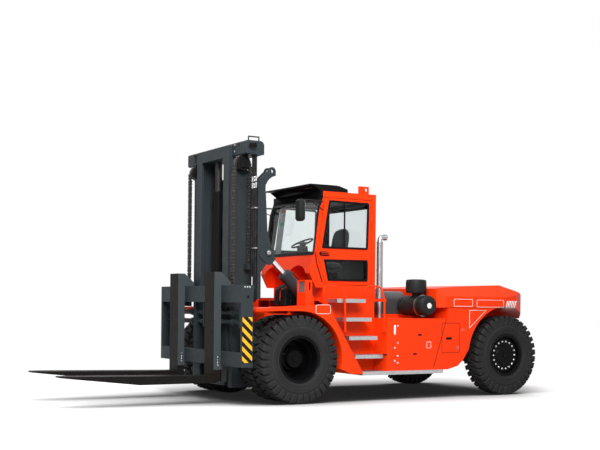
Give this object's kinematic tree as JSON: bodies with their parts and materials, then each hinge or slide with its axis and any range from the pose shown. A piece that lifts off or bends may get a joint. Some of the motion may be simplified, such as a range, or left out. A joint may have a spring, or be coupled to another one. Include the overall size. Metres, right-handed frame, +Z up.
{
  "type": "heavy diesel forklift",
  "caption": "Heavy counterbalance forklift with twin drive wheels, rear steering, a two-stage tilting mast, sliding forks and a centre cab.",
  "frame": {"origin": "on the floor under the centre of the whole truck, forks included", "axes": "+X the driver's left, -Y forward to the forks, +Z up"},
  "size_m": [3.12, 8.5, 4.123],
  "materials": {
    "orange_paint": "gloss",
    "slate_paint": "satin",
    "black_paint": "gloss",
    "fork_steel": "satin",
    "tyre_rubber": "matt",
    "bright_steel": "brushed",
    "chrome_rod": "polished",
    "cast_weight": "gloss",
    "clear_glass": "clear",
    "lamp_lens": "clear",
    "seat_cloth": "woven",
    "black_plastic": "matt",
    "hose_rubber": "matt",
    "grey_panel": "satin",
    "chain_steel": "oiled"
  },
  "bodies": {
    "chassis": {"chassis_frame": "orange_paint", "cab_deck": "orange_paint", "fender_left": "orange_paint", "fender_right": "orange_paint", "head_lamps": "lamp_lens", "tank_left": "orange_paint", "tank_right": "orange_paint", "rear_panel_left": "orange_paint", "rear_panel_right": "orange_paint", "counterweight": "cast_weight", "steps_left": "bright_steel", "steps_right": "bright_steel", "hand_rails": "orange_paint", "cab_shell": "orange_paint", "cab_roof": "orange_paint", "roof_visor": "black_plastic", "cab_glass": "clear_glass", "driver_seat": "seat_cloth", "steering_column": "black_plastic", "mirrors": "black_plastic", "engine_block": "grey_panel", "air_cleaner": "black_plastic", "exhaust_stack": "bright_steel", "front_axle": "black_paint", "rear_axle": "black_paint"},
    "front_wheels_left": {"front_tyres_left": "tyre_rubber", "front_rims_left": "black_paint"},
    "front_wheels_right": {"front_tyres_right": "tyre_rubber", "front_rims_right": "black_paint"},
    "steer_knuckle_left": {"knuckle_left": "black_paint"},
    "steer_knuckle_right": {"knuckle_right": "black_paint"},
    "rear_wheel_left": {"rear_tyre_left": "tyre_rubber", "rear_rim_left": "black_paint"},
    "rear_wheel_right": {"rear_tyre_right": "tyre_rubber", "rear_rim_right": "black_paint"},
    "cab_door": {"cab_door": "orange_paint", "door_glass": "clear_glass"},
    "engine_hood": {"engine_hood": "grey_panel"},
    "outer_mast": {"outer_mast": "slate_paint", "lift_barrels": "slate_paint", "anchor_chains": "chain_steel"},
    "inner_mast": {"inner_mast": "slate_paint", "lift_rods": "chrome_rod", "carriage_chains": "chain_steel", "mast_hoses": "hose_rubber"},
    "carriage": {"carriage": "slate_paint"},
    "fork_left": {"fork_left": "fork_steel"},
    "fork_right": {"fork_right": "fork_steel"},
    "tilt_barrel_left": {"tilt_barrel_left": "slate_paint"},
    "tilt_barrel_right": {"tilt_barrel_right": "slate_paint"},
    "tilt_rod_left": {"tilt_rod_left": "chrome_rod"},
    "tilt_rod_right": {"tilt_rod_right": "chrome_rod"}
  },
  "joints": [
    {"name": "front_wheels_left_spin", "type": "hinge", "parent": "chassis", "child": "front_wheels_left", "pos_m": [1.147, -0.73, 0.685], "axis": [1, 0, 0], "continuous": true},
    {"name": "front_wheels_right_spin", "type": "hinge", "parent": "chassis", "child": "front_wheels_right", "pos_m": [-1.147, -0.73, 0.685], "axis": [1, 0, 0], "continuous": true},
    {"name": "steer_left", "type": "hinge", "parent": "chassis", "child": "steer_knuckle_left", "pos_m": [1.05, 3.45, 0.685], "axis": [0, 0, 1], "range_deg": [-50, 50]},
    {"name": "steer_right", "type": "hinge", "parent": "chassis", "child": "steer_knuckle_right", "pos_m": [-1.05, 3.45, 0.685], "axis": [0, 0, 1], "range_deg": [-50, 50]},
    {"name": "rear_wheel_left_spin", "type": "hinge", "parent": "steer_knuckle_left", "child": "rear_wheel_left", "pos_m": [1.32, 3.45, 0.685], "axis": [1, 0, 0], "continuous": true},
    {"name": "rear_wheel_right_spin", "type": "hinge", "parent": "steer_knuckle_right", "child": "rear_wheel_right", "pos_m": [-1.32, 3.45, 0.685], "axis": [1, 0, 0], "continuous": true},
    {"name": "door_swing", "type": "hinge", "parent": "chassis", "child": "cab_door", "pos_m": [0.832, 1.044, 1.64], "axis": [0, 0, 1], "range_deg": [0, 80]},
    {"name": "hood_lift", "type": "hinge", "parent": "chassis", "child": "engine_hood", "pos_m": [-0.6, 1.2, 1.3803], "axis": [0, -1, 0], "range_deg": [0, 60]},
    {"name": "mast_tilt", "type": "hinge", "parent": "chassis", "child": "outer_mast", "pos_m": [0, -1.06, 0.8], "axis": [-1, 0, 0], "range_deg": [-6, 10]},
    {"name": "mast_lift", "type": "slide", "parent": "outer_mast", "child": "inner_mast", "axis": [0, 0, 1], "range_m": [-0.13, 1.6], "deforming": ["anchor_chains"]},
    {"name": "carriage_lift", "type": "slide", "parent": "inner_mast", "child": "carriage", "axis": [0, 0, 1], "range_m": [-0.13, 1.6], "deforming": ["carriage_chains"]},
    {"name": "fork_left_shift", "type": "slide", "parent": "carriage", "child": "fork_left", "axis": [1, 0, 0], "range_m": [-0.16, 0.6]},
    {"name": "fork_right_shift", "type": "slide", "parent": "carriage", "child": "fork_right", "axis": [-1, 0, 0], "range_m": [-0.16, 0.55]},
    {"name": "tilt_barrel_left_turn", "type": "hinge", "parent": "chassis", "child": "tilt_barrel_left", "pos_m": [0.93, -0.26, 1.6], "axis": [-1, 0, 0], "range_deg": [-8, 13]},
    {"name": "tilt_rod_left_slide", "type": "slide", "parent": "tilt_barrel_left", "child": "tilt_rod_left", "axis": [0, -0.7257, 0.688], "range_m": [-0.21, 0.13]},
    {"name": "tilt_barrel_right_turn", "type": "hinge", "parent": "chassis", "child": "tilt_barrel_right", "pos_m": [-0.93, -0.26, 1.6], "axis": [-1, 0, 0], "range_deg": [-8, 13]},
    {"name": "tilt_rod_right_slide", "type": "slide", "parent": "tilt_barrel_right", "child": "tilt_rod_right", "axis": [0, -0.7257, 0.688], "range_m": [-0.21, 0.13]}
  ],
  "couplings": [
    {"joint": "steer_right", "follows": "steer_left", "ratio": 1},
    {"joint": "carriage_lift", "follows": "mast_lift", "ratio": 1},
    {"joint": "tilt_barrel_left_turn", "follows": "mast_tilt", "ratio": 1.0211},
    {"joint": "tilt_rod_left_slide", "follows": "mast_tilt", "m_per_rad": -1.1275},
    {"joint": "tilt_barrel_right_turn", "follows": "mast_tilt", "ratio": 1.0211},
    {"joint": "tilt_rod_right_slide", "follows": "mast_tilt", "m_per_rad": -1.1275}
  ]
}
